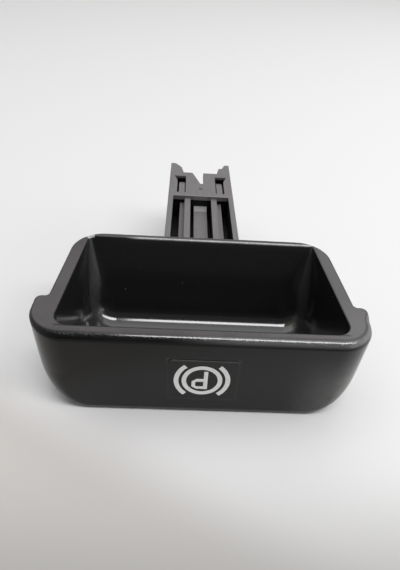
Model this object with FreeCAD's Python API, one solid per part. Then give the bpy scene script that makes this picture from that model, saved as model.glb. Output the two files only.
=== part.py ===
import FreeCAD, Part
import math
import os

# Release handle of a parking brake: one moulding in black plastic, in millimetres.
# It lies as it rests on a table, closed side down, with the finger pocket open upward.
# X runs across the handle, +Y runs from the face back along the stem, +Z points out of the pocket.
# The model is drawn from the face at Y zero and the closed side at Z zero, and centred at the end.

# Scoop, outside
face_width = 96.6            # across the ears at the rim
rim_height = 29.5            # closed side to rim
side_lean = 1.9              # how far each side of the face leans in from rim to closed side
lower_corner = 15.3          # large rounded lower corners seen from the front
face_corner = 10.5           # rounding of the face into its sides
face_low_edge = 2.0          # rounding of the face into the closed side
face_rim_edge = 2.4          # rounding of the face into the rim
ear_length = 16.7            # face to the step behind the ears
ear_step = 3.6               # how far each ear stands out from the scoop behind it
ear_back_edge = 1.0          # rounding of the back of each ear
ear_root = 1.1               # hollow rounding between ear and scoop
scoop_length = 52.5          # face to the back of the rear rim
scoop_narrowing = 1.9        # each side of the scoop closes in by this toward the rear
scoop_corner = 10.0          # rear corners of the rim, seen from above
rear_slope = 11.0            # the rear wall leans forward by this from rim to closed side
scoop_low_edge = 2.0         # rounding of the scoop into the closed side
scoop_rim_edge = 0.8         # smaller rounding along the rim behind the ears

# Finger pocket
front_rim = 4.15             # rim between face and pocket
rear_rim = 2.8               # rim behind the pocket
side_rim_front = 7.0         # rim beside the pocket at the front, ears included
side_rim_rear = 4.1          # rim beside the pocket at the rear
floor_thickness = 2.4        # material under the pocket
pocket_side_lean = 2.4       # draft of each side wall
pocket_front_lean = 1.2      # draft of the front wall
pocket_rear_lean = 12.4      # slope of the rear wall, for the finger tips
pocket_low_corner = 9.0      # rounding between floor and side walls
pocket_blend = 7.0           # rounding between the end walls and the floor
pocket_front_corner = 4.5    # rounding between front and side walls, and of the front wall's foot
pocket_rear_corner = 1.2     # rounding between rear and side walls, at the rim
pocket_rim_edge = 0.4        # rounded inner edge of the rim

# Raised pad for the sign on the face
pad_width = 20.1
pad_height = 15.7
pad_middle = 14.15           # height of its middle over the closed side
pad_across = 0.4             # its middle lies this far right of the middle of the face
pad_rise = 0.4
pad_corner = 1.3
pad_front_edge = 0.25

# Stem
overall_length = 119.3       # face to the tips of the prongs
stem_width = 26.6
stem_depth = 12.0
stem_drop = 1.3              # top of the stem under the rim
stem_wall = 2.05
stem_floor = 2.0
stem_tuck = 6.0              # how far the stem runs in under the rear rim
stem_edge = 0.35             # small rounding along the outside of the stem
plate_length = 23.0          # end plate, from its near edge to its far edge
plate_thickness = 1.8
plate_lip = 0.5              # the plate stands out this far over the wall under its near edge
near_wall = 1.6              # wall from the floor up to the near edge of the plate
end_wall = 2.2               # walls that close the far end left and right
cable_way = 10.0             # open width between the end walls, for the cable end

# Ribs in the stem
centre_bar_width = 5.3
centre_bar_drop = 5.3        # top of the bar under the top of the stem
bar_ramp_length = 4.5
bar_ramp_rise = 0.9
rib_gap = 1.55               # slot between the bar and each rib
high_rib_width = 2.3
high_rib_drop = 1.1
low_rib_width = 1.9
low_rib_drop = 3.3

# Prongs past the end plate
prong_length = 9.9           # far edge of the end plate to the tips
prong_root_width = 5.9
prong_waist_width = 4.9
prong_tip_length = 4.2       # waist of the prongs to the tips
prong_tip_depth = 5.0        # the underside rises to this depth at the tips, as a lead-in
right_prong_step = 1.4       # small step at the waist of the right prong only

# Notch for the cable
notch_depth = 11.0
notch_low_width = 1.4
notch_mouth_left = 3.5       # from the middle line to the slanted side at the mouth
notch_right = 1.3            # from the middle line to the straight side

# Snap tongues in the end plate
tongue_middle = 7.9          # middle line to the middle of each tongue
tongue_width = 2.4
tongue_inner_slit = 0.4      # slit on the side of the middle line
tongue_outer_slit = 0.8      # slit on the side of the stem wall
tongue_tip_gap = 0.75        # the slits reach past the free end by this
tongue_root_margin = 3.2     # near edge of the plate to the root of each tongue
tongue_length = 11.4         # root to free end
tongue_step = 3.4            # length of the lowered free end
tongue_step_drop = 0.9       # how far the free end lies under the plate
window_margin = 3.8          # far edge of the window past the tongue to the far edge of the plate
window_flare = 1.4           # the window widens outward by this at its far edge
ejector_radius = 0.8         # shallow mark in the middle of the plate
ejector_depth = 0.15
ejector_margin = 6.8         # near edge of the plate to the middle of that mark

# Sizes that follow from the ones above
face_half = face_width / 2
scoop_half_front = face_half - ear_step
scoop_half_rear = scoop_half_front - scoop_narrowing
pocket_half_front = face_half - side_rim_front
pocket_half_rear = scoop_half_rear - side_rim_rear
pocket_back = scoop_length - rear_rim
stem_half = stem_width / 2
stem_top = rim_height - stem_drop
stem_low = stem_top - stem_depth
well_half = stem_half - stem_wall
well_floor = stem_low + stem_floor
plate_low = stem_top - plate_thickness
plate_end = overall_length - prong_length
plate_start = plate_end - plate_length
prong_waist = overall_length - prong_tip_length
tongue_root = plate_start + tongue_root_margin
tongue_tip = tongue_root + tongue_length
window_end = plate_end - window_margin
ejector_place = plate_start + ejector_margin

# Help values for the drawing, not sizes of the handle
spare = 5.0                  # cutting solids reach past the surface by this
overlap_start = 10.0         # the rear scoop begins here, inside the front
same_place = 0.01            # two places closer than this count as one
close_by = 0.1               # slack when edges are picked by where they lie


def point(x, y, z):
    return FreeCAD.Vector(x, y, z)


def block(x0, x1, y0, y1, z0, z1):
    return Part.makeBox(x1 - x0, y1 - y0, z1 - z0, point(x0, y0, z0))


def prism(points, along):
    """A straight solid on a closed outline of corner points."""
    return Part.Face(Part.makePolygon(points + points[:1])).extrude(along)


def six_sided(low, high):
    """A solid between two rings of four corners."""
    rings = [low[::-1], high]
    for number in range(4):
        following = (number + 1) % 4
        rings.append([low[number], low[following], high[following], high[number]])
    faces = [Part.Face(Part.makePolygon(ring + ring[:1])) for ring in rings]
    return Part.makeSolid(Part.makeShell(faces))


def mirrored(shape):
    return shape.mirror(point(0, 0, 0), point(1, 0, 0))


def ends(edge):
    return [vertex.Point for vertex in edge.Vertexes]


def near(value, target):
    return abs(value - target) < same_place


def rounded(solid, radius, choose):
    """The solid with one radius on every edge whose two ends pass the test."""
    picked = [edge for edge in solid.Edges if len(edge.Vertexes) == 2 and choose(*ends(edge))]
    return solid.makeFillet(radius, picked)


def rounded_unevenly(solid, choose):
    """The solid with edges whose radius changes along them, from the pair that choose gives."""
    page = FreeCAD.newDocument()
    base = page.addObject("Part::Feature", "Base")
    base.Shape = solid
    fillet = page.addObject("Part::Fillet", "Fillet")
    fillet.Base = base
    picked = []
    for number, edge in enumerate(base.Shape.Edges):
        radii = choose(edge)
        if radii:
            picked.append((number + 1, radii[0], radii[1]))
    fillet.Edges = picked
    page.recompute()
    shape = fillet.Shape.copy()
    FreeCAD.closeDocument(page.Name)
    return shape


def trough_wire(y, half_top, half_low, low, top, corner):
    """Closed section across the scoop: leaning sides, two round lower corners, flat top."""
    lean = math.atan2(half_top - half_low, top - low)
    turn = (math.pi / 2 - lean) / 2
    centre_x = half_low - corner * (1 - math.sin(lean)) / math.cos(lean)
    centre_z = low + corner
    side_x = centre_x + corner * math.cos(lean)
    side_z = centre_z - corner * math.sin(lean)
    bend_x = centre_x + corner * math.sin(turn)
    bend_z = centre_z - corner * math.cos(turn)
    left_bend = Part.Arc(point(-side_x, y, side_z), point(-bend_x, y, bend_z), point(-centre_x, y, low))
    right_bend = Part.Arc(point(centre_x, y, low), point(bend_x, y, bend_z), point(side_x, y, side_z))
    return Part.Wire([
        Part.makeLine(point(-half_top, y, top), point(-side_x, y, side_z)),
        left_bend.toShape(),
        Part.makeLine(point(-centre_x, y, low), point(centre_x, y, low)),
        right_bend.toShape(),
        Part.makeLine(point(side_x, y, side_z), point(half_top, y, top)),
        Part.makeLine(point(half_top, y, top), point(-half_top, y, top)),
    ])


def outer_trough(length):
    wire = trough_wire(0, face_half, face_half - side_lean, 0, rim_height, lower_corner)
    return Part.Face(wire).extrude(point(0, length, 0))


def fascia():
    """Front of the scoop with the ears: wide round sides that fade into a tight lower edge."""
    solid = outer_trough(ear_length)

    def front_edges(edge):
        first, last = ends(edge)
        if not (near(first.y, 0) and near(last.y, 0)):
            return None
        if near(first.z, rim_height) and near(last.z, rim_height):
            return None
        if near(first.z, rim_height) or near(last.z, rim_height):
            return (face_corner, face_corner)
        if near(first.z, 0) and near(last.z, 0):
            return (face_low_edge, face_low_edge)
        if near(edge.valueAt(edge.FirstParameter).z, 0):
            return (face_low_edge, face_corner)
        return (face_corner, face_low_edge)

    def ear_back(first, last):
        on_back = near(first.y, ear_length) and near(last.y, ear_length)
        return on_back and not near(first.z, last.z)

    solid = rounded_unevenly(solid, front_edges)
    return rounded(solid, ear_back_edge, ear_back)


def scoop_back():
    """Scoop behind the ears, with a hollow rounding at each ear and a rear wall that leans forward."""
    narrowing = scoop_narrowing / (scoop_length - ear_length)
    flare = scoop_half_front + ear_root
    straight = ear_length + ear_root
    far = scoop_length + spare
    far_half = scoop_half_front - narrowing * (far - straight)
    root_reach = ear_root * math.sqrt(0.5)

    def ear_root_bend(side):
        start = point(side * flare, ear_length, 0)
        middle = point(side * (flare - root_reach), straight - root_reach, 0)
        end = point(side * scoop_half_front, straight, 0)
        return Part.Arc(start, middle, end).toShape()

    def line(x0, y0, x1, y1):
        return Part.makeLine(point(x0, y0, 0), point(x1, y1, 0))

    outline = Part.Wire([
        line(-flare, overlap_start, flare, overlap_start),
        line(flare, overlap_start, flare, ear_length),
        ear_root_bend(1),
        line(scoop_half_front, straight, far_half, far),
        line(far_half, far, -far_half, far),
        line(-far_half, far, -scoop_half_front, straight),
        ear_root_bend(-1),
        line(-flare, ear_length, -flare, overlap_start),
    ])
    upright = Part.Face(outline).extrude(point(0, 0, rim_height))
    in_front_of_rear_wall = prism([
        point(-face_width, 0, 0),
        point(-face_width, scoop_length - rear_slope, 0),
        point(-face_width, scoop_length, rim_height),
        point(-face_width, 0, rim_height),
    ], point(2 * face_width, 0, 0))
    solid = upright.common(in_front_of_rear_wall)

    def rear_corners(first, last):
        return min(first.y, last.y) > scoop_length - rear_slope - close_by and not near(first.z, last.z)

    return rounded(solid, scoop_corner, rear_corners).common(outer_trough(far))


def pocket():
    """Hollow for the fingers: four drafted walls on a flat floor, with round lower corners."""
    narrowing = (pocket_half_front - pocket_half_rear) / (pocket_back - front_rim)
    low_front = front_rim + pocket_front_lean
    low_back = pocket_back - pocket_rear_lean

    def ring(front, back, z, lean):
        half_front = pocket_half_front - narrowing * (front - front_rim) - lean
        half_back = pocket_half_front - narrowing * (back - front_rim) - lean
        return [
            point(-half_front, front, z),
            point(half_front, front, z),
            point(half_back, back, z),
            point(-half_back, back, z),
        ]

    low = ring(low_front, low_back, floor_thickness, pocket_side_lean)
    high = ring(front_rim, pocket_back, rim_height, 0)
    core = six_sided(low, high)

    def side_low_edges(first, last):
        on_floor = near(first.z, floor_thickness) and near(last.z, floor_thickness)
        return on_floor and not near(first.y, last.y)

    def end_edges(edge):
        first, last = ends(edge)
        in_front = max(first.y, last.y) < low_front + close_by
        at_back = min(first.y, last.y) > low_back - close_by
        low_end = min(first.z, last.z)
        if not (in_front or at_back) or near(low_end, rim_height):
            return None
        if in_front:
            return (pocket_front_corner, pocket_front_corner)
        if not near(max(first.z, last.z), rim_height):
            return (pocket_blend, pocket_blend)
        if near(edge.firstVertex(True).Z, rim_height):
            return (pocket_blend, pocket_rear_corner)
        return (pocket_rear_corner, pocket_blend)

    core = rounded(core, pocket_low_corner, side_low_edges)
    return rounded_unevenly(core, end_edges)


def sign_pad():
    """Raised pad on the face that carries the printed sign."""
    low = pad_middle - pad_height / 2
    left = pad_across - pad_width / 2
    solid = block(left, left + pad_width, -pad_rise, spare, low, low + pad_height)

    def corners(first, last):
        return near(first.x, last.x) and near(first.z, last.z)

    def front_edges(first, last):
        return near(first.y, -pad_rise) and near(last.y, -pad_rise)

    return rounded(rounded(solid, pad_corner, corners), pad_front_edge, front_edges)


def stem_walls():
    """Floor and side walls of the stem, open upward between them."""
    start = scoop_length - stem_tuck
    outside = block(-stem_half, stem_half, start, plate_end, stem_low, stem_top)
    well = block(-well_half, well_half, start, plate_end + spare, well_floor, stem_top + spare)
    return outside.cut(well)


def prong(step):
    """One prong past the end plate: the side wall runs on, with a web that narrows to its tip."""
    waist_in = stem_half - prong_waist_width
    web = prism([
        point(stem_half - prong_root_width, plate_end - end_wall, plate_low),
        point(stem_half - prong_root_width, plate_end, plate_low),
        point(waist_in, prong_waist, plate_low),
        point(waist_in + step, prong_waist, plate_low),
        point(well_half, overall_length, plate_low),
        point(stem_half, overall_length, plate_low),
        point(stem_half, plate_end - end_wall, plate_low),
    ], point(0, 0, plate_thickness))
    arm = prism([
        point(well_half, plate_end - end_wall, stem_low),
        point(well_half, plate_end, stem_low),
        point(well_half, overall_length, stem_top - prong_tip_depth),
        point(well_half, overall_length, stem_top),
        point(well_half, plate_end - end_wall, stem_top),
    ], point(stem_wall, 0, 0))
    return web.fuse(arm)


def end_plate():
    """Plate that bridges the stem walls at the far end, on a near wall and two end walls."""
    plate = block(-stem_half, stem_half, plate_start, plate_end, plate_low, stem_top)
    wall_start = plate_start + plate_lip
    wall = block(-well_half, well_half, wall_start, wall_start + near_wall, stem_low, plate_low)
    right_end = block(cable_way / 2, stem_half, plate_end - end_wall, plate_end, stem_low, stem_top)
    return plate.fuse([wall, right_end, mirrored(right_end)])


def cable_notch():
    """Notch in the far edge of the plate: one slanted side, one straight side."""
    low = plate_end - notch_depth
    return prism([
        point(notch_right, low, well_floor),
        point(notch_right, plate_end + spare, well_floor),
        point(-notch_mouth_left, plate_end + spare, well_floor),
        point(-notch_mouth_left, plate_end, well_floor),
        point(notch_right - notch_low_width, low, well_floor),
    ], point(0, 0, stem_depth))


def tongue_window():
    """Opening round one snap tongue: a slit each side and a window past its free end."""
    inner = tongue_middle - tongue_width / 2
    outer = tongue_middle + tongue_width / 2
    slit_end = tongue_tip + tongue_tip_gap
    top = stem_top + spare
    inner_slit = block(inner - tongue_inner_slit, inner, tongue_root, slit_end, well_floor, top)
    outer_slit = block(outer, outer + tongue_outer_slit, tongue_root, slit_end, well_floor, top)
    window = prism([
        point(inner - tongue_inner_slit, tongue_tip, well_floor),
        point(outer + tongue_outer_slit, tongue_tip, well_floor),
        point(outer + tongue_outer_slit + window_flare, window_end, well_floor),
        point(inner - tongue_inner_slit, window_end, well_floor),
    ], point(0, 0, stem_depth))
    return inner_slit.fuse([outer_slit, window])


def tongue_step_cut():
    """Material taken off the top of one tongue, so that its free end lies lower."""
    inner = tongue_middle - tongue_width / 2
    outer = tongue_middle + tongue_width / 2
    return block(inner, outer, tongue_tip - tongue_step, tongue_tip, stem_top - tongue_step_drop, stem_top + spare)


def stepped_rib():
    """One rib beside the centre bar: a high inner half and a low outer half."""
    start = scoop_length - stem_tuck
    stop = plate_start + plate_lip
    inner = centre_bar_width / 2 + rib_gap
    middle = inner + high_rib_width
    outer = middle + low_rib_width
    high = block(inner, middle, start, stop, well_floor, stem_top - high_rib_drop)
    low = block(middle, outer, start, stop, well_floor, stem_top - low_rib_drop)
    return high.fuse(low)


def centre_bar():
    """Bar along the middle of the stem, with a short ramp up at its far end."""
    start = scoop_length - stem_tuck
    stop = plate_start + plate_lip
    top = stem_top - centre_bar_drop
    half = centre_bar_width / 2
    return prism([
        point(-half, start, well_floor),
        point(-half, stop, well_floor),
        point(-half, stop, top + bar_ramp_rise),
        point(-half, stop - bar_ramp_length, top),
        point(-half, start, top),
    ], point(centre_bar_width, 0, 0))


def stem():
    rib = stepped_rib()
    left_prong = mirrored(prong(0))
    right_prong = prong(right_prong_step)
    pieces = [end_plate(), left_prong, right_prong, rib, mirrored(rib), centre_bar()]
    solid = stem_walls().fuse(pieces).removeSplitter().Solids[0]

    def outer_edges(first, last):
        outside = near(abs(first.x), stem_half) and near(first.x, last.x)
        return outside and near(first.z, last.z) and not near(first.y, last.y)

    solid = rounded(solid, stem_edge, outer_edges)
    window = tongue_window()
    step = tongue_step_cut()
    mark = Part.makeCylinder(ejector_radius, spare, point(0, ejector_place, stem_top - ejector_depth))
    solid = solid.cut([cable_notch(), window, mirrored(window), step, mirrored(step), mark])
    return solid.removeSplitter()


def scoop():
    """Fascia and rear scoop as one piece, with the rim rounding that fades along the ears."""
    solid = fascia().fuse(scoop_back()).removeSplitter().Solids[0]

    def low_edges(first, last):
        return max(first.z, last.z) < lower_corner and min(first.y, last.y) > ear_length

    def rim_edges(edge):
        first, last = ends(edge)
        if not (near(first.z, rim_height) and near(last.z, rim_height)):
            return None
        near_end = min(first.y, last.y)
        far_end = max(first.y, last.y)
        if far_end < face_corner + close_by:
            return (face_rim_edge, face_rim_edge)
        if near_end > face_corner + close_by:
            return (scoop_rim_edge, scoop_rim_edge)
        if near(edge.valueAt(edge.FirstParameter).y, near_end):
            return (face_rim_edge, scoop_rim_edge)
        return (scoop_rim_edge, face_rim_edge)

    solid = rounded(solid, scoop_low_edge, low_edges)
    return rounded_unevenly(solid, rim_edges)


def handle():
    core = pocket()
    shell = scoop().fuse(sign_pad()).cut(core)

    def pocket_rim(first, last):
        on_rim = near(first.z, rim_height) and near(last.z, rim_height)
        inside_front = min(first.y, last.y) > front_rim - close_by
        inside_back = max(first.y, last.y) < pocket_back + close_by
        inside_sides = max(abs(first.x), abs(last.x)) < pocket_half_front + close_by
        return on_rim and inside_front and inside_back and inside_sides

    shell = rounded(shell.Solids[0], pocket_rim_edge, pocket_rim)
    return shell.fuse(stem().cut(core)).removeSplitter().Solids[0]


os.makedirs("parts", exist_ok=True)
release_handle = handle()
release_handle.translate(point(0, -(overall_length - pad_rise) / 2, 0))
release_handle.exportStep("parts/release_handle.step")
print(release_handle.isValid(), round(release_handle.Volume, 1), len(release_handle.Faces))
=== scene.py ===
import math

import bpy
from mathutils import Matrix, Vector


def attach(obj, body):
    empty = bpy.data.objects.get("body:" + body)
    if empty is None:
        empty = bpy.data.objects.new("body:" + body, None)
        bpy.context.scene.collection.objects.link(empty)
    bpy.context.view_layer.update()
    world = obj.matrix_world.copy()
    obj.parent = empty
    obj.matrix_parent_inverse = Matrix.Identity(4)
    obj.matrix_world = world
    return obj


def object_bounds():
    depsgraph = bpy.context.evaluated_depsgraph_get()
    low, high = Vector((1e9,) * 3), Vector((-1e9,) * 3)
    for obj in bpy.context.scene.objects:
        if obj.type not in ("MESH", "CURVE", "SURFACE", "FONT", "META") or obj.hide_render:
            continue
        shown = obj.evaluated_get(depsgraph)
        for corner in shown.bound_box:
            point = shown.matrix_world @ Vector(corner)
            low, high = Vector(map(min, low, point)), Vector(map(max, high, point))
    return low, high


# Looks of the parking brake release handle. Lengths are in millimetres and turned into metres where used.
MM = 0.001

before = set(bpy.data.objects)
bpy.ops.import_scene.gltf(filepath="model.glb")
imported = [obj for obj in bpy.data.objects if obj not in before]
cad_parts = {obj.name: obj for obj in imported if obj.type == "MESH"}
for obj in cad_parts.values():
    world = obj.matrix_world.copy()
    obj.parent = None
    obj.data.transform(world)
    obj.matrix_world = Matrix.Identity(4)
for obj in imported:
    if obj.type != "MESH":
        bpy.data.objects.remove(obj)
cad_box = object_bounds()
low, high = cad_box

# Where the handle starts, in the frame's axes
RIM = high.z                        # level of the rim
FACE = low.y                        # front of the raised pad that carries the sign

# Places on the handle, in millimetres back from FACE
POCKET_START = 4.55                 # inner edge of the front rim
POCKET_MIDDLE = 26.5
POCKET_END = 50.1                   # inner edge of the rear rim
STEM_START = 52.9                   # back of the rear rim
BAR_RAMP_START = 83.4               # ramp at the far end of the stem's centre bar
PLATE_START = 86.8                  # near edge of the stem's end plate

# Sizes of the handle, in millimetres
POCKET_MIDDLE_DOWN = 5.0            # the point that all the pocket's walls face lies this far under the rim
WELL_DEPTH = 7.6                    # what lies deeper than this under the rim is down in the stem's wells
WINDOW_DEPTH = 1.8                  # and deeper than this where the end plate is, in its windows
WELL_SIDE = 11.9                    # the wells and windows of the stem lie within this of its middle line
BAR_SIDE = 2.8                      # the centre bar lies within this
PAD_ACROSS, PAD_UP = 0.4, 14.15     # middle of the pad, from the middle of the face and from the closed side
PAD_HALF_WIDTH, PAD_HALF_HEIGHT = 10.05, 7.85

# Small things in the photograph, as places across, along and up in the frame's axes, in millimetres
SPECKS = (((-26.1, -17.0, 12.9), 0.5), ((-6.2, -15.7, 15.6), 0.55), ((-7.0, -14.6, 18.0), 0.35),
          ((-22.0, -17.6, 11.2), 0.45), ((17.5, -16.6, 13.5), 0.4))     # each with its radius
EJECTOR_MARK = (0.0, 33.55, 28.1)
GLINT_SPOT = (-38.4, -9.6, 29.5)          # painted glint on the rim's inner edge at the left rear corner of the pocket
PAINTED_GLOW_SPOT = (32.6, -23.8, 3.2)          # painted glow at the right foot of the pocket's rear wall, where the highlight along that foot ends


def tint(red, green, blue):
    return (red, green, blue, 1)


def grey(level):
    return tint(level, level, level)


# Colours of the plastic
FACE_DARK, FACE_LIGHT = tint(0.0015, 0.0015, 0.0013), tint(0.0025, 0.0025, 0.0022)
# painted sheen for the lower right of the face, in place of a reflection of the bright table
FACE_PAINTED_SHEEN = tint(0.15, 0.147, 0.143)
POCKET = grey(0.009)
POCKET_DUST = grey(0.024)
# colour of the painted glow at the end of the pocket's highlight
PAINTED_GLOW = tint(0.070, 0.061, 0.045)
SPECK = grey(0.13)
DUST = grey(0.08)
RIM_TOP = tint(0.066, 0.059, 0.058)
# painted light on the front right of the rim's top, and painted shade on its rear right
RIM_PAINTED_LIGHT = tint(0.090, 0.085, 0.086)
RIM_PAINTED_SHADE = tint(0.036, 0.032, 0.032)
RIM_PATCH = tint(0.048, 0.037, 0.038)
# painted highlight along the edges of the pad
PAD_PAINTED_HIGHLIGHT = tint(0.040, 0.040, 0.037)
# painted sheen on the rounding of the rim at the front right
PAINTED_SHEEN_ROUNDING = grey(0.105)
# painted highlight along the inner edge of the rear rim
PAINTED_HIGHLIGHT_EDGE = tint(0.40, 0.39, 0.40)
# colour of the painted glint at the left rear corner of the rim
PAINTED_GLINT = tint(0.60, 0.59, 0.59)
STEM_DARK, STEM_LIGHT = tint(0.115, 0.106, 0.106), tint(0.170, 0.160, 0.162)
# painted light on the stem's centre bar, its ramp and the near edge of its plate
STEM_PAINTED_LIGHT = tint(0.30, 0.29, 0.29)
# painted shade down in the stem's wells and windows
STEM_PAINTED_SHADE = grey(0.004)
EJECTOR = tint(0.05, 0.05, 0.06)

# Roughness of each finish, from its smoothest to its roughest spots where it is uneven
SATIN = (0.15, 0.22)
SHINY, SHINY_FINE = (0.06, 0.14), (0.0, 0.12)
SHINY_ENDS = 0.34                   # the shine on the rounding of the rim fades toward the ears
POLISHED = (0.10, 0.22)
POLISHED_REAR_CORNER = 0.68
POLISHED_LOW_CORNER = 0.6
DUSTY = 0.45
MATT = (0.50, 0.62)

# Depth of the bumps in each finish, in millimetres
FACE_BUMP = 0.008
POCKET_BUMP = 0.0004
ROUNDING_BUMP = 0.04
ROUNDING_PEBBLES = 0.16
STEM_BUMP = 0.02

# Print of the sign: a ring with a letter in it between two arcs, on the pad
SIGN_MIDDLE = (0.25, 14.3)          # across from the middle of the face and up from the closed side
SIGN_THICK = 0.03                   # the print stands out this far
SIGN_SUNK = 0.02                    # and reaches this far into the pad
RING_RADIUS = 5.1
RING_STROKE = 1.3
RING_STEPS = 96
ARC_RADIUS = 7.3
ARC_STROKE = 1.35
ARC_REACH = 49.5                    # degrees to each side of the level
ARC_STEPS = 36


# Nodes

class Nodes:
    """A material's node tree with short calls for the nodes used here."""

    def __init__(self, material):
        material.use_nodes = True
        self.tree = material.node_tree
        self.tree.nodes.clear()
        self.place = self.add("ShaderNodeTexCoord").outputs["Object"]
        self.facing = self.add("ShaderNodeTexCoord").outputs["Normal"]

    def add(self, kind, **settings):
        node = self.tree.nodes.new(kind)
        for name, value in settings.items():
            setattr(node, name, value)
        return node

    def feed(self, socket, value):
        if isinstance(value, bpy.types.NodeSocket):
            self.tree.links.new(value, socket)
        else:
            socket.default_value = value

    def math(self, operation, *values):
        node = self.add("ShaderNodeMath", operation=operation)
        for socket, value in zip(node.inputs, values):
            self.feed(socket, value)
        return node.outputs[0]

    def times(self, first, *others):
        for value in others:
            first = self.math("MULTIPLY", first, value)
        return first

    def most(self, first, *others):
        for value in others:
            first = self.math("MAXIMUM", first, value)
        return first

    def minus(self, first, second):
        return self.math("SUBTRACT", first, second)

    def inverse(self, value):
        return self.minus(1.0, value)

    def size(self, value):
        return self.math("ABSOLUTE", value)

    def vector(self, operation, *values):
        node = self.add("ShaderNodeVectorMath", operation=operation)
        for socket, value in zip(node.inputs, values):
            self.feed(socket, value)
        return node.outputs["Value" if operation in ("DOT_PRODUCT", "LENGTH") else "Vector"]

    def split(self, vector):
        node = self.add("ShaderNodeSeparateXYZ")
        self.feed(node.inputs[0], vector)
        return node.outputs

    def split_place(self):
        """The place across, along and up in the frame's axes, in millimetres."""
        return [self.math("DIVIDE", value, MM) for value in self.split(self.place)]

    def step(self, value, start, end):
        """0 before start, 1 after end, smooth between them."""
        node = self.add("ShaderNodeMapRange", interpolation_type="SMOOTHSTEP", clamp=True)
        for socket, number in zip(node.inputs, (value, start, end, 0.0, 1.0)):
            self.feed(socket, number)
        return node.outputs["Result"]

    def band(self, value, start, full, fading, end):
        """1 from full to fading, 0 before start and after end, smooth between them."""
        return self.times(self.step(value, start, full), self.step(value, end, fading))

    def spread(self, value, low_end, high_end):
        """A value from 0 to 1 spread between two ends."""
        node = self.add("ShaderNodeMapRange", clamp=True)
        for socket, number in zip(node.inputs, (value, 0.0, 1.0, low_end, high_end)):
            self.feed(socket, number)
        return node.outputs["Result"]

    def mix(self, factor, first, second):
        """Number between first and second."""
        node = self.add("ShaderNodeMix", data_type="FLOAT")
        for name, value in zip(("Factor", "A", "B"), (factor, first, second)):
            self.feed(node.inputs[name], value)
        return node.outputs["Result"]

    def mix_colour(self, factor, first, second):
        node = self.add("ShaderNodeMix", data_type="RGBA")
        self.feed(node.inputs["Factor"], factor)
        for index, value in ((6, first), (7, second)):
            self.feed(node.inputs[index], value)
        return node.outputs[2]

    def noise(self, size, detail=2.0, rough=0.5, squeeze=(1, 1, 1)):
        """Noise whose features are about this many millimetres across, longer where squeeze is under 1."""
        mapping = self.add("ShaderNodeMapping")
        self.feed(mapping.inputs["Vector"], self.place)
        mapping.inputs["Scale"].default_value = squeeze
        node = self.add("ShaderNodeTexNoise")
        self.feed(node.inputs["Vector"], mapping.outputs["Vector"])
        node.inputs["Scale"].default_value = 1 / (size * MM)
        node.inputs["Detail"].default_value = detail
        node.inputs["Roughness"].default_value = rough
        return node.outputs["Fac"]

    def spot(self, centre, outer, inner):
        """1 inside a ball of this inner radius in millimetres, 0 outside the outer one."""
        place = tuple(value * MM for value in centre)
        away = self.vector("LENGTH", self.vector("SUBTRACT", self.place, place))
        return self.step(away, outer * MM, inner * MM)

    def bump(self, height, depth, below=None):
        """Bump of this depth in millimetres for a height from 0 to 1, on top of the bump below."""
        node = self.add("ShaderNodeBump")
        self.feed(node.inputs["Height"], height)
        node.inputs["Strength"].default_value = 1.0
        self.feed(node.inputs["Distance"], self.math("MULTIPLY", depth, MM))
        if below:
            self.feed(node.inputs["Normal"], below)
        return node.outputs["Normal"]

    def principled(self, **sockets):
        shader = self.add("ShaderNodeBsdfPrincipled")
        for name, value in sockets.items():
            self.feed(shader.inputs[name.replace("_", " ")], value)
        output = self.add("ShaderNodeOutputMaterial")
        self.feed(output.inputs["Surface"], shader.outputs[0])


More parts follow.
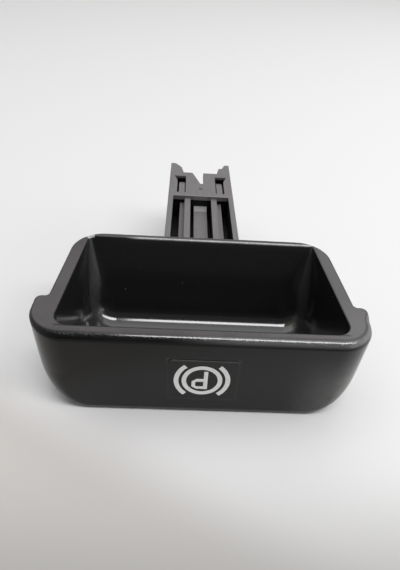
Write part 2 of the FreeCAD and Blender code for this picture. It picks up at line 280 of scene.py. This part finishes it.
class Handle(Nodes):
    """Nodes of the handle's plastic, with the measures, structures and masks that its looks share."""

    def __init__(self, material):
        super().__init__(material)

        # Place in millimetres, also back from FACE and down from RIM, and the way the surface faces
        self.across, along, self.up = self.split_place()
        self.aside = self.size(self.across)
        self.back = self.minus(along, FACE / MM)
        self.down = self.minus(RIM / MM, self.up)
        self.past_start = self.minus(self.back, POCKET_START)
        self.past_end = self.minus(self.back, POCKET_END)
        self.past_plate = self.minus(self.back, PLATE_START)
        self.faces_right, self.faces_back, self.faces_up = self.split(self.facing)
        self.faces_side = self.size(self.faces_right)

        # Fine structure
        self.grain = self.noise(0.35, 3.0, 0.6)
        self.patches = self.noise(9.0, 3.0, 0.55)
        self.smears = self.noise(4.0, 4.0, 0.6, squeeze=(1.0, 0.35, 1.0))
        self.dust = self.step(self.noise(0.7, 2.0, 0.5), 0.72, 0.78)

        # Masks: the stem, the pocket, its rear corners and its low rear corners
        self.on_stem = self.step(self.back, STEM_START + 0.1, STEM_START + 0.5)
        self.off_stem = self.inverse(self.on_stem)
        self.in_pocket = self.find_pocket()
        self.rear_corner = self.times(self.step(self.faces_side, 0.35, 0.75),
                                      self.step(self.faces_back, -0.08, -0.4))
        self.low_corner = self.times(self.step(self.aside, 33.4, 35.6), self.step(self.up, 9.0, 6.0),
                                     self.step(self.back, 27.0, 32.0))

        # Masks: the rounding of the rim, its duller left and right ends, the height of the rim's inner edge
        self.rounding = self.times(self.step(self.down, 2.6, 0.3),
                                   self.band(self.size(self.faces_up), 0.25, 0.6, 0.9, 0.99))
        self.dull_ends = self.most(self.step(self.across, -22, -36), self.step(self.across, 38, 44))
        self.rim_edge = self.step(self.down, 0.7, 0.4)

    def find_pocket(self):
        """1 on the walls and the floor of the finger pocket, which all face its middle."""
        middle = (0, FACE + POCKET_MIDDLE * MM, RIM - POCKET_MIDDLE_DOWN * MM)
        to_middle = self.vector("SUBTRACT", middle, self.place)
        faces_in = self.step(self.vector("DOT_PRODUCT", self.facing, to_middle), 0.0, 0.6 * MM)
        behind_start = self.step(self.past_start, -0.95, -0.35)
        before_end = self.step(self.past_end, 0.5, -0.1)
        between_sides = self.step(self.aside, 42.6, 42.2)
        above_underside = self.step(self.up, 1.5, 2.0)
        return self.times(faces_in, between_sides, behind_start, before_end, above_underside)


# Looks of the plastic, each on top of the one before it

def face_colour(n):
    """Nearly black, with a painted sheen low on the right of the face, standing in for its reflection of the
    bright table.
    """
    uneven = n.spread(n.smears, 0.6, 1.2)
    # painted sheen low on the right of the face
    painted_sheen = n.times(n.step(n.across, 23, 50), n.step(n.up, 29, 9), uneven)
    return n.mix_colour(painted_sheen, n.mix_colour(n.patches, FACE_DARK, FACE_LIGHT), FACE_PAINTED_SHEEN)


def pocket_colour(n, colour):
    """Dark pocket with dust in its left rear corner, a painted glow at the right foot of its rear wall, a few
    specks and fine dust.
    """
    cloudy = n.step(n.noise(1.4, 3.0, 0.7), 0.35, 0.75)
    settled = n.times(n.rear_corner, n.step(n.across, -20, -30), cloudy)
    colour = n.mix_colour(n.in_pocket, colour, n.mix_colour(settled, POCKET, POCKET_DUST))
    # painted light: a beige glow where the highlight along the foot of the rear wall ends
    painted_glow = n.times(n.in_pocket, n.spot(PAINTED_GLOW_SPOT, 3.6, 1.0), n.spread(n.smears, 0.4, 1.3))
    colour = n.mix_colour(painted_glow, colour, PAINTED_GLOW)
    specks = n.most(*(n.spot(centre, radius, 0.3 * radius) for centre, radius in SPECKS))
    colour = n.mix_colour(specks, colour, SPECK)
    return n.mix_colour(n.times(n.dust, 0.25), colour, DUST)


def rim_colour(n, colour):
    """Flat top of the rim, in random patches, with painted light making it greyest at the front right and
    painted shade making it darkest at the rear right.
    """
    # painted light at the front right and painted shade at the rear right
    painted_light_front_right = n.times(n.step(n.across, -20, 46), n.step(n.back, 18, 7))
    painted_shade_rear_right = n.times(n.step(n.across, 10, 30), n.step(n.back, 12, 24))
    patchy = n.times(n.step(n.patches, 0.42, 0.62), 0.45)
    rim = n.mix_colour(painted_light_front_right, RIM_TOP, RIM_PAINTED_LIGHT)
    rim = n.mix_colour(painted_shade_rear_right, rim, RIM_PAINTED_SHADE)
    rim = n.mix_colour(patchy, rim, RIM_PATCH)
    on_top = n.times(n.step(n.down, 0.9, 0.2), n.step(n.faces_up, 0.93, 0.99))
    return n.mix_colour(n.times(on_top, n.spread(n.grain, 0.5, 1.0)), colour, rim)


def pad_colour(n, colour):
    """Painted highlight on the outline of the pad, a little lighter than the face, most of all along its
    upper edge, which faces the light.
    """
    past_side = n.minus(n.size(n.minus(n.across, PAD_ACROSS)), PAD_HALF_WIDTH)
    past_top = n.minus(n.size(n.minus(n.up, PAD_UP)), PAD_HALF_HEIGHT)
    # painted highlight along the pad's outline
    painted_highlight_outline = n.band(n.most(past_side, past_top), -0.55, -0.2, 0.2, 0.45)
    on_face = n.step(n.back, 1.4, 1.1)
    strength = n.mix(n.step(n.up, 20.5, 21.5), 0.25, 1.0)
    uneven = n.spread(n.patches, 0.5, 1.1)
    return n.mix_colour(n.times(painted_highlight_outline, on_face, strength, uneven), colour, PAD_PAINTED_HIGHLIGHT)


def edge_painted_light_colour(n, colour):
    """Painted light and shade on the edges of the rim: a painted sheen on its rounding at the front right, a
    painted highlight along its inner edge at the rear, a painted glint at its left rear corner and painted
    shade along its inner edge at the front."""
    # painted sheen where the rounding of the rim at the front right faces outward and slopes
    outward = n.step(n.minus(n.faces_right, n.faces_back), 0.1, 0.4)
    sloping = n.band(n.faces_up, 0.15, 0.65, 0.93, 0.99)
    painted_light_front_right = n.times(n.step(n.across, -12, 14), n.step(n.back, 21, 17.5), n.step(n.down, 6, 4))
    uneven = n.spread(n.grain, 0.6, 1.2)
    colour = n.mix_colour(n.times(sloping, outward, painted_light_front_right, uneven), colour, PAINTED_SHEEN_ROUNDING)

    # painted shade: the inner edge of the front rim drawn as dark as the face
    painted_shade_front_edge = n.times(n.band(n.past_start, -0.65, -0.35, 0.05, 0.35), n.step(n.aside, 41.0, 39.5))
    colour = n.mix_colour(n.times(n.rim_edge, painted_shade_front_edge), colour, FACE_DARK)

    # painted highlight along the inner edge of the rear rim, uneven in streaks
    painted_highlight_rear_edge = n.times(n.band(n.past_end, -0.3, 0.0, 0.4, 0.7), n.step(n.across, -27, -20))
    uneven = n.spread(n.smears, 0.4, 1.3)
    colour = n.mix_colour(n.times(n.rim_edge, painted_highlight_rear_edge, uneven), colour, PAINTED_HIGHLIGHT_EDGE)

    # painted glint at the left rear corner, broken up by the grain
    broken = n.step(n.grain, 0.40, 0.50)
    painted_glint = n.times(n.spot(GLINT_SPOT, 1.7, 1.1), n.rim_edge, broken, n.step(n.past_end, 1.1, 0.8))
    return n.mix_colour(painted_glint, colour, PAINTED_GLINT)


def stem_colour(n):
    """Streaky dark grey, with painted shade making it black down in the wells and windows and on the upright
    walls of the wells, painted light on the centre bar, most on its ramp, and a painted highlight along the
    near edge of the plate.
    """
    streaks = n.noise(0.8, 3.0, 0.6, squeeze=(1.0, 0.12, 1.0))
    colour = n.mix_colour(streaks, STEM_DARK, STEM_LIGHT)

    inside = n.step(n.aside, WELL_SIDE, WELL_SIDE - 0.3)
    before_plate = n.step(n.past_plate, 0.1, -0.2)
    # painted light on the centre bar, full on its ramp, and a painted highlight along the plate's near edge
    on_ramp = n.mix(n.step(n.back, BAR_RAMP_START - 0.2, BAR_RAMP_START + 0.2), 0.16, 1.0)
    on_bar = n.times(n.step(n.aside, BAR_SIDE, BAR_SIDE - 0.2), n.step(n.down, 9.0, 8.0), before_plate)
    painted_highlight_plate_edge = n.times(n.band(n.past_plate, -0.2, -0.05, 0.4, 0.6), n.step(n.faces_up, 0.3, 0.8))
    painted_highlight_plate_edge = n.times(painted_highlight_plate_edge, inside, 0.45)
    colour = n.mix_colour(n.most(n.times(on_bar, on_ramp), painted_highlight_plate_edge), colour, STEM_PAINTED_LIGHT)

    # painted shade down in the wells and windows and on the upright walls of the wells
    floor_depth = n.mix(before_plate, WINDOW_DEPTH, WELL_DEPTH)
    painted_shade_deep = n.step(n.minus(n.down, floor_depth), 0.2, 0.8)
    upright = n.times(n.step(n.faces_side, 0.5, 0.8), before_plate)
    colour = n.mix_colour(n.times(n.most(painted_shade_deep, upright), inside), colour, STEM_PAINTED_SHADE)
    return n.mix_colour(n.times(n.spot(EJECTOR_MARK, 1.2, 0.5), 0.65), colour, EJECTOR)


def plastic_roughness(n):
    fine = n.spread(n.noise(1.2, 2.0, 0.6), *SHINY_FINE)
    shiny = n.math("ADD", n.spread(n.patches, *SHINY), fine)
    outside = n.mix(n.rounding, n.spread(n.grain, *SATIN), n.mix(n.dull_ends, shiny, SHINY_ENDS))
    pocket = n.spread(n.smears, *POLISHED)
    uneven = n.spread(n.smears, 0.45, 1.4)
    pocket = n.mix(n.times(n.rear_corner, uneven), pocket, POLISHED_REAR_CORNER)
    pocket = n.mix(n.low_corner, pocket, POLISHED_LOW_CORNER)
    pocket = n.mix(n.dust, pocket, DUSTY)
    return n.mix(n.on_stem, n.mix(n.in_pocket, outside, pocket), n.spread(n.grain, *MATT))


def plastic_bump(n):
    depth = n.mix(n.rounding, n.mix(n.in_pocket, FACE_BUMP, POCKET_BUMP), ROUNDING_BUMP)
    fine = n.bump(n.grain, n.mix(n.on_stem, depth, STEM_BUMP))
    pebbles = n.noise(0.75, 1.0, 0.5)
    return n.bump(pebbles, n.times(n.rounding, n.off_stem, ROUNDING_PEBBLES), below=fine)


def plastic_polish(n):
    """1 on the lower part of the pocket away from its corners, and on the rounding of the rim."""
    low_down = n.step(n.up, 15, 9)
    open_wall = n.inverse(n.most(n.rear_corner, n.low_corner))
    shiny_rounding = n.times(n.rounding, n.inverse(n.dull_ends), n.off_stem)
    return n.most(n.times(n.in_pocket, low_down, open_wall), shiny_rounding)


def black_plastic():
    """Moulded black plastic: satin and finely grained outside, polished in the pocket, matt on the stem."""
    material = bpy.data.materials.new("black_plastic_moulded")
    n = Handle(material)
    colour = face_colour(n)
    for look in (pocket_colour, rim_colour, pad_colour, edge_painted_light_colour):
        colour = look(n, colour)
    colour = n.mix_colour(n.on_stem, colour, stem_colour(n))
    n.principled(Base_Color=colour, Roughness=plastic_roughness(n), IOR=1.42, Normal=plastic_bump(n),
                 Coat_Weight=plastic_polish(n), Coat_Roughness=0.1, Coat_IOR=1.62)
    return material


def sign_print():
    """White print, slightly uneven and a little worn."""
    material = bpy.data.materials.new("sign_print_white")
    n = Nodes(material)
    speckle = n.noise(0.4, 3.0, 0.6)
    colour = n.mix_colour(speckle, tint(0.84, 0.84, 0.82), tint(0.93, 0.93, 0.91))
    n.principled(Base_Color=colour, Roughness=n.spread(speckle, 0.42, 0.58), IOR=1.45,
                 Normal=n.bump(speckle, 0.004))
    return material


# The sign, upside down because the handle lies upside down

def strip(name, runs, material):
    """Thin raised strips along runs of (inner, outer) point pairs, all in the plane of the pad."""
    points, faces = [], []
    back = FACE + SIGN_SUNK * MM
    front = FACE - SIGN_THICK * MM
    for pairs, closed in runs:
        first = len(points)
        for (ax, az), (bx, bz) in pairs:
            for x, z, y in ((ax, az, front), (bx, bz, front), (bx, bz, back), (ax, az, back)):
                points.append(((SIGN_MIDDLE[0] + x) * MM, y, (SIGN_MIDDLE[1] + z) * MM))
        count = len(pairs)
        for number in range(count if closed else count - 1):
            here = first + 4 * number
            there = first + 4 * ((number + 1) % count)
            for side in range(4):
                after = (side + 1) % 4
                faces.append((here + side, there + side, there + after, here + after))
        if not closed:
            last = first + 4 * (count - 1)
            faces.append((first + 3, first + 2, first + 1, first))
            faces.append((last, last + 1, last + 2, last + 3))
    mesh = bpy.data.meshes.new(name)
    mesh.from_pydata(points, [], faces)
    mesh.materials.append(material)
    mesh.validate()
    mesh.update()
    piece = bpy.data.objects.new(name, mesh)
    bpy.context.scene.collection.objects.link(piece)
    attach(piece, "root")


def bend(radius, stroke, start, end, steps):
    """Pairs of points along an arc, angles in degrees."""
    pairs = []
    for number in range(steps + 1):
        angle = math.radians(start + (end - start) * number / steps)
        inner, outer = radius - stroke / 2, radius + stroke / 2
        pairs.append(((inner * math.cos(angle), inner * math.sin(angle)),
                      (outer * math.cos(angle), outer * math.sin(angle))))
    return pairs


def letter():
    """The straight side of the letter, and its bowl, which bends to the left at the foot of that side."""
    left, right = 0.45, 1.6
    top, foot = 3.65, -3.4
    bowl_top, bowl_left, bend_start = 0.7, -2.9, -1.5
    stroke, top_stroke = 1.05, 1.15
    inner_left, inner_top, inner_foot = bowl_left + stroke, bowl_top - top_stroke, foot + stroke
    # Heights at which the slanted corners of the bowl reach its left side, outside and inside
    high_corner, inner_high_corner = -0.4, -0.75
    low_corner, inner_low_corner = -2.4, -2.1
    side = [((left, top), (right, top)), ((left, foot), (right, foot))]
    bowl = [((left, bowl_top), (left, inner_top)), ((bend_start, bowl_top), (bend_start, inner_top)),
            ((bowl_left, high_corner), (inner_left, inner_high_corner)),
            ((bowl_left, low_corner), (inner_left, inner_low_corner)),
            ((bend_start, foot), (bend_start, inner_foot)), ((left, foot), (left, inner_foot))]
    return side, bowl


def make_sign(material):
    ring = bend(RING_RADIUS, RING_STROKE, 0, 360, RING_STEPS)[:-1]
    right_arc = bend(ARC_RADIUS, ARC_STROKE, -ARC_REACH, ARC_REACH, ARC_STEPS)
    left_arc = bend(ARC_RADIUS, ARC_STROKE, 180 - ARC_REACH, 180 + ARC_REACH, ARC_STEPS)
    strip("sign_ring", [(ring, True)], material)
    strip("sign_arcs", [(right_arc, False), (left_arc, False)], material)
    strip("sign_letter", [(run, False) for run in letter()], material)


plastic = black_plastic()
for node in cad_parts.values():
    for slot in node.material_slots:
        slot.material = plastic
make_sign(sign_print())


# Floor

FLOOR_REACH = 6.0                   # metres to each side
TABLE = tint(0.72, 0.714, 0.707)
# painted light beside the left of the scoop, thinning its shadow, and painted shade toward the lower left and
# toward the viewer
TABLE_PAINTED_LIGHT = tint(0.86, 0.855, 0.85)
TABLE_PAINTED_SHADE_LEFT = tint(0.56, 0.536, 0.512)
TABLE_PAINTED_SHADE_NEAR = tint(0.30, 0.292, 0.282)


def floor_white():
    """Pale table, with painted light at the left of the scoop, where the handle's shadow falls, and painted
    shade that greys it toward the viewer, first at the left.
    """
    material = bpy.data.materials.new("floor_white")
    n = Nodes(material)
    across, along, _ = n.split_place()
    # painted light beside the scoop's left wall, then painted shade toward the lower left and the viewer
    painted_light_beside = n.times(n.band(across, -68, -50, -44, -20), n.band(along, -95, -72, -35, -5))
    slanting = n.math("ADD", n.times(across, 0.5), n.times(along, 0.85))
    colour = n.mix_colour(painted_light_beside, TABLE, TABLE_PAINTED_LIGHT)
    colour = n.mix_colour(n.step(slanting, -64, -86), colour, TABLE_PAINTED_SHADE_LEFT)
    colour = n.mix_colour(n.step(along, -68, -125), colour, TABLE_PAINTED_SHADE_NEAR)
    n.principled(Base_Color=colour, Roughness=0.6, IOR=1.3)
    return material


def make_floor():
    corners = [(-FLOOR_REACH, -FLOOR_REACH, 0), (FLOOR_REACH, -FLOOR_REACH, 0),
               (FLOOR_REACH, FLOOR_REACH, 0), (-FLOOR_REACH, FLOOR_REACH, 0)]
    mesh = bpy.data.meshes.new("floor")
    mesh.from_pydata(corners, [], [(0, 1, 2, 3)])
    mesh.materials.append(floor_white())
    floor = bpy.data.objects.new("floor", mesh)
    bpy.context.scene.collection.objects.link(floor)


make_floor()


# Camera, fitted to the edges of the handle in the photograph

PICTURE_HEIGHT = 570.0              # pixels
FOCAL_LENGTH = 480.0                # pixels
SENSOR = 36.0                       # millimetres
CAMERA_PLACE = (-7.24, -151.82, 116.76)     # millimetres
CAMERA_RIGHT = (0.99818, -0.00901, 0.05956)
CAMERA_DOWN = (0.04233, -0.59855, -0.79997)
CAMERA_FORWARD = (0.04286, 0.80104, -0.59708)


def make_camera():
    data = bpy.data.cameras.new("camera")
    data.lens = FOCAL_LENGTH * SENSOR / PICTURE_HEIGHT
    data.sensor_width = SENSOR
    data.shift_y = -1.0 / PICTURE_HEIGHT
    data.clip_start = 0.005
    data.clip_end = 50.0
    camera = bpy.data.objects.new("camera", data)
    bpy.context.scene.collection.objects.link(camera)
    axes = (Vector(CAMERA_RIGHT), -Vector(CAMERA_DOWN), -Vector(CAMERA_FORWARD))
    turn = Matrix(axes).transposed().to_4x4()
    camera.matrix_world = Matrix.Translation(Vector(CAMERA_PLACE) * MM) @ turn
    bpy.context.scene.camera = camera


make_camera()


# Light, with places and sizes in metres

def area_light(name, place, target, size, radiance, colour=(1, 1, 1)):
    width, height = size
    data = bpy.data.lights.new(name, "AREA")
    data.shape = "RECTANGLE"
    data.size, data.size_y = size
    data.energy = radiance * math.pi * width * height
    data.color = colour
    light = bpy.data.objects.new(name, data)
    bpy.context.scene.collection.objects.link(light)
    direction = Vector(target) - Vector(place)
    light.location = place
    light.rotation_mode = "QUATERNION"
    light.rotation_quaternion = direction.to_track_quat("-Z", "Y")


area_light("light_ceiling", place=(0.0, 0.75, 1.2), target=(0.0, 0.75, 0), size=(1.9, 1.9),
           radiance=0.68, colour=(1.0, 0.995, 1.0))
area_light("light_window", place=(1.5, 0.2, 0.45), target=(0, 0, 0), size=(1.0, 0.6),
           radiance=3.5, colour=(0.97, 0.985, 1.0))
area_light("light_strip", place=(0.60, -0.39, 1.2), target=(0.60, -0.06, 0.03), size=(1.5, 0.27),
           radiance=9.3, colour=(1.0, 0.99, 1.0))
area_light("light_front_right", place=(0.95, -0.50, 0.35), target=(0.02, -0.05, 0.02), size=(0.9, 0.6),
           radiance=1.0)
area_light("light_high_right", place=(0.85, 1.5, 1.15), target=(0.05, 0.0, 0.03), size=(0.7, 0.7),
           radiance=1.1)


def make_world():
    """Even pale surroundings that get darker behind the camera, where the room is."""
    toward_room = (0.0, -0.8, 0.6)
    pale, dim = 0.65, 0.12
    fade_start, fade_end = 0.3, 0.9
    world = bpy.data.worlds.new("world")
    bpy.context.scene.world = world
    world.use_nodes = True
    tree = world.node_tree
    direction = tree.nodes.new("ShaderNodeTexCoord").outputs["Generated"]
    toward = tree.nodes.new("ShaderNodeVectorMath")
    toward.operation = "DOT_PRODUCT"
    tree.links.new(direction, toward.inputs[0])
    toward.inputs[1].default_value = toward_room
    level = tree.nodes.new("ShaderNodeMapRange")
    level.interpolation_type = "SMOOTHSTEP"
    tree.links.new(toward.outputs["Value"], level.inputs[0])
    for socket, number in zip(list(level.inputs)[1:5], (fade_start, fade_end, pale, dim)):
        socket.default_value = number
    background = tree.nodes["Background"]
    background.inputs["Color"].default_value = (0.97, 0.985, 1.0, 1)
    tree.links.new(level.outputs[0], background.inputs["Strength"])


make_world()

scene = bpy.context.scene
scene.view_settings.view_transform = "Standard"
